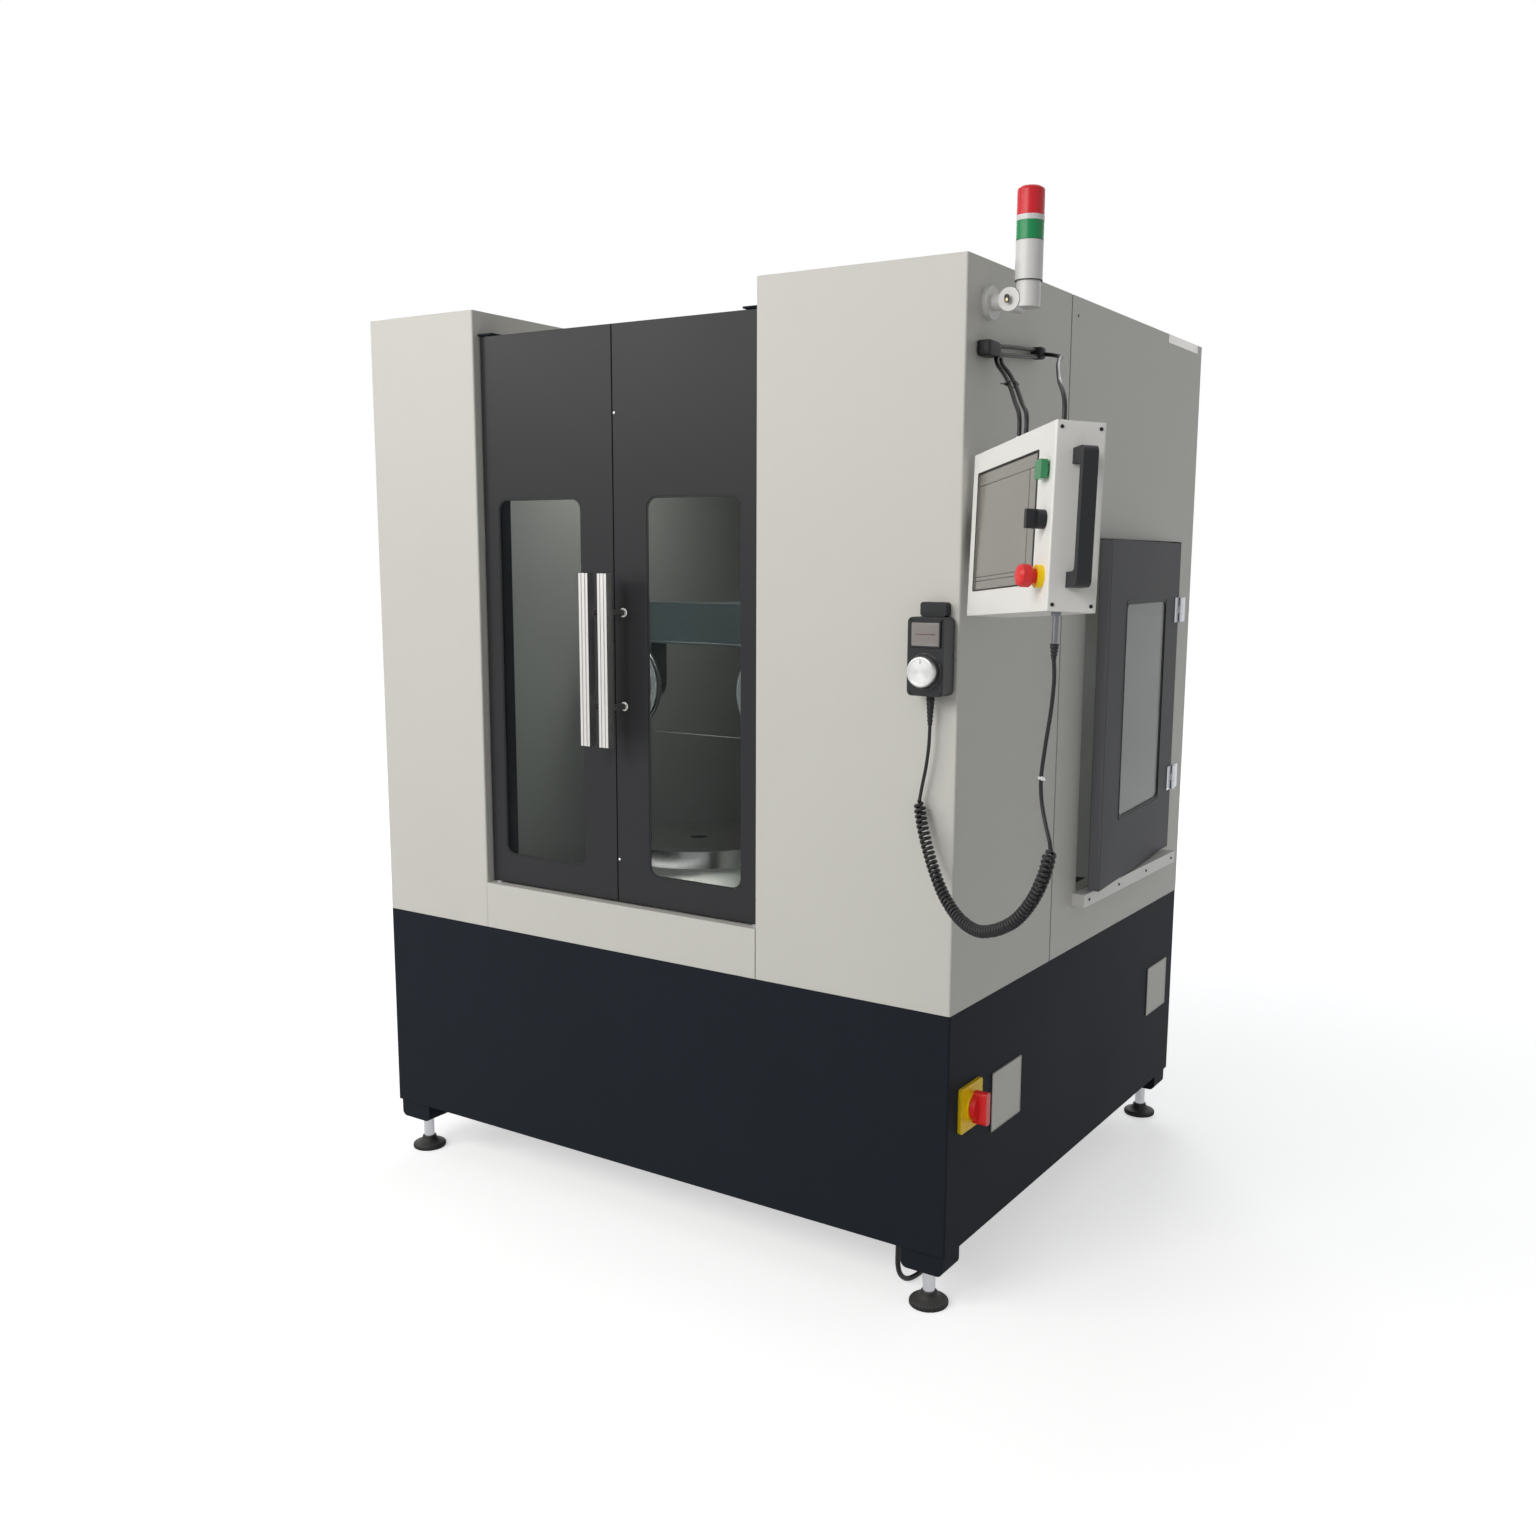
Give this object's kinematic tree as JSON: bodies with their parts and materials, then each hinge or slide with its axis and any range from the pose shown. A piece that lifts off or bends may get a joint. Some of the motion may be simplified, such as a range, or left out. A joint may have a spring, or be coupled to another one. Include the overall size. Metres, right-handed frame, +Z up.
{
  "type": "wire saw machine",
  "caption": "Enclosed wire loop saw with double front doors, side door, rotary table, swivel screen box, hand pendant and folding signal tower on a dark plinth.",
  "frame": {"origin": "on the floor, at the middle of the cabinet's footprint", "axes": "+X to the right of someone facing the front doors, +Y from the front doors to the rear, +Z up"},
  "size_m": [1.9557, 1.6727, 2.166],
  "materials": {
    "light_paint": "fine texture powder coat, warm light grey",
    "dark_paint": "fine texture powder coat, graphite grey",
    "anthracite_paint": "fine texture powder coat, anthracite",
    "white_paint": "smooth powder coat, off-white",
    "machined_steel": "turned and ground steel",
    "zinc_steel": "bright zinc plated steel",
    "satin_aluminium": "satin anodised aluminium extrusion",
    "window_glass": "clear safety glass",
    "display_glass": "dark display glass",
    "black_plastic": "moulded black plastic",
    "grey_plastic": "moulded light grey plastic",
    "yellow_plastic": "moulded yellow plastic",
    "red_plastic": "moulded red plastic",
    "green_plastic": "moulded green plastic",
    "red_lens": "translucent red lens",
    "green_lens": "translucent green lens",
    "black_rubber": "matt black rubber",
    "cord_jacket": "black cable jacket",
    "machine_casting": "painted grey-green casting"
  },
  "bodies": {
    "cabinet": {"plinth": "anthracite_paint", "left_column": "light_paint", "right_column": "light_paint", "side_panel": "light_paint", "rear_panel": "light_paint", "roof_panel": "light_paint", "front_sill": "light_paint", "door_frame": "anthracite_paint", "door_pivots": "zinc_steel", "cover_plates": "light_paint", "side_hinge_frames": "zinc_steel", "side_ledge": "white_paint", "isolator_plate": "yellow_plastic", "foot_pads": "black_rubber", "foot_studs": "zinc_steel", "tower_bracket": "grey_plastic", "screen_arm": "anthracite_paint", "cable_boots": "black_plastic", "screen_cables": "cord_jacket", "pendant_hanger": "black_plastic", "pendant_body": "black_plastic", "pendant_relief": "black_rubber", "pendant_cord": "cord_jacket", "power_gland": "black_plastic", "power_cord": "cord_jacket", "power_coil": "cord_jacket", "power_plug": "red_plastic", "machine_frame": "machine_casting", "guide_rails": "machined_steel"},
    "left_leaf": {"left_door": "dark_paint", "left_glass": "window_glass", "left_handle": "satin_aluminium"},
    "right_leaf": {"right_door": "dark_paint", "right_glass": "window_glass", "right_handle": "satin_aluminium"},
    "side_leaf": {"side_door": "dark_paint", "side_glass": "window_glass", "side_hinge_leaves": "zinc_steel"},
    "isolator": {"isolator_knob": "red_plastic"},
    "tower": {"tower_elbow": "grey_plastic", "tower_body": "grey_plastic", "tower_green": "green_lens", "tower_red": "red_lens"},
    "screen": {"screen_yoke": "anthracite_paint", "screen_box": "white_paint", "screen_glass": "display_glass", "screen_handle": "black_plastic", "screen_glands": "zinc_steel", "estop_collar": "yellow_plastic"},
    "start": {"start_button": "green_plastic"},
    "selector": {"selector_knob": "black_plastic"},
    "estop": {"estop_head": "red_plastic"},
    "handwheel": {"pendant_wheel": "machined_steel"},
    "head": {"saw_head": "machine_casting", "wire_motor": "black_plastic", "wire_loop": "machined_steel"},
    "drive": {"drive_wheel": "satin_aluminium"},
    "idler": {"idler_wheel": "satin_aluminium"},
    "slide_table": {"table_base": "light_paint"},
    "turntable": {"rotary_table": "machined_steel"}
  },
  "joints": [
    {"name": "left_door_hinge", "type": "hinge", "parent": "cabinet", "child": "left_leaf", "pos_m": [-0.434, -0.635, 1.3685], "axis": [0, 0, -1], "range_deg": [0, 95]},
    {"name": "right_door_hinge", "type": "hinge", "parent": "cabinet", "child": "right_leaf", "pos_m": [0.309, -0.635, 1.3685], "axis": [0, 0, 1], "range_deg": [0, 95]},
    {"name": "side_door_hinge", "type": "hinge", "parent": "cabinet", "child": "side_leaf", "pos_m": [0.7912, 0.58, 1.1695], "axis": [0, 0, 1], "range_deg": [-5, 95]},
    {"name": "isolator_turn", "type": "hinge", "parent": "cabinet", "child": "isolator", "pos_m": [0.795, -0.573, 0.424], "axis": [1, 0, 0], "range_deg": [0, 90]},
    {"name": "tower_fold", "type": "hinge", "parent": "cabinet", "child": "tower", "pos_m": [0.837, -0.581, 1.973], "axis": [0, 1, 0], "range_deg": [0, 90]},
    {"name": "screen_swivel", "type": "hinge", "parent": "cabinet", "child": "screen", "pos_m": [0.93001, -0.57303, 1.55], "axis": [0, 0, 1], "range_deg": [-5, 60]},
    {"name": "start_press", "type": "slide", "parent": "screen", "child": "start", "axis": [0.7389, 0.6724, -0.0436], "range_m": [0, 0.0035], "stiffness_N_per_m": 300},
    {"name": "selector_turn", "type": "hinge", "parent": "screen", "child": "selector", "pos_m": [1.07683, -0.96055, 1.56962], "axis": [0.7389, 0.6724, -0.0436], "range_deg": [-45, 45]},
    {"name": "estop_press", "type": "slide", "parent": "screen", "child": "estop", "axis": [0.7389, 0.6724, -0.0436], "range_m": [0, 0.005]},
    {"name": "handwheel_turn", "type": "hinge", "parent": "cabinet", "child": "handwheel", "pos_m": [0.74, -0.712, 1.302], "axis": [0, 1, 0], "continuous": true},
    {"name": "head_slide", "type": "slide", "parent": "cabinet", "child": "head", "axis": [0, 0, 1], "range_m": [-0.235, 0.3]},
    {"name": "drive_spin", "type": "hinge", "parent": "head", "child": "drive", "pos_m": [0.1675, -0.345, 1.2], "axis": [0, 1, 0], "continuous": true},
    {"name": "idler_spin", "type": "hinge", "parent": "head", "child": "idler", "pos_m": [-0.2925, -0.345, 1.2], "axis": [0, 1, 0], "continuous": true},
    {"name": "table_slide", "type": "slide", "parent": "cabinet", "child": "slide_table", "axis": [0, 1, 0], "range_m": [-0.045, 0.18]},
    {"name": "table_turn", "type": "hinge", "parent": "slide_table", "child": "turntable", "pos_m": [-0.0625, -0.345, 0.8], "axis": [0, 0, 1], "continuous": true}
  ],
  "couplings": [
    {"joint": "idler_spin", "follows": "drive_spin", "ratio": 1}
  ]
}
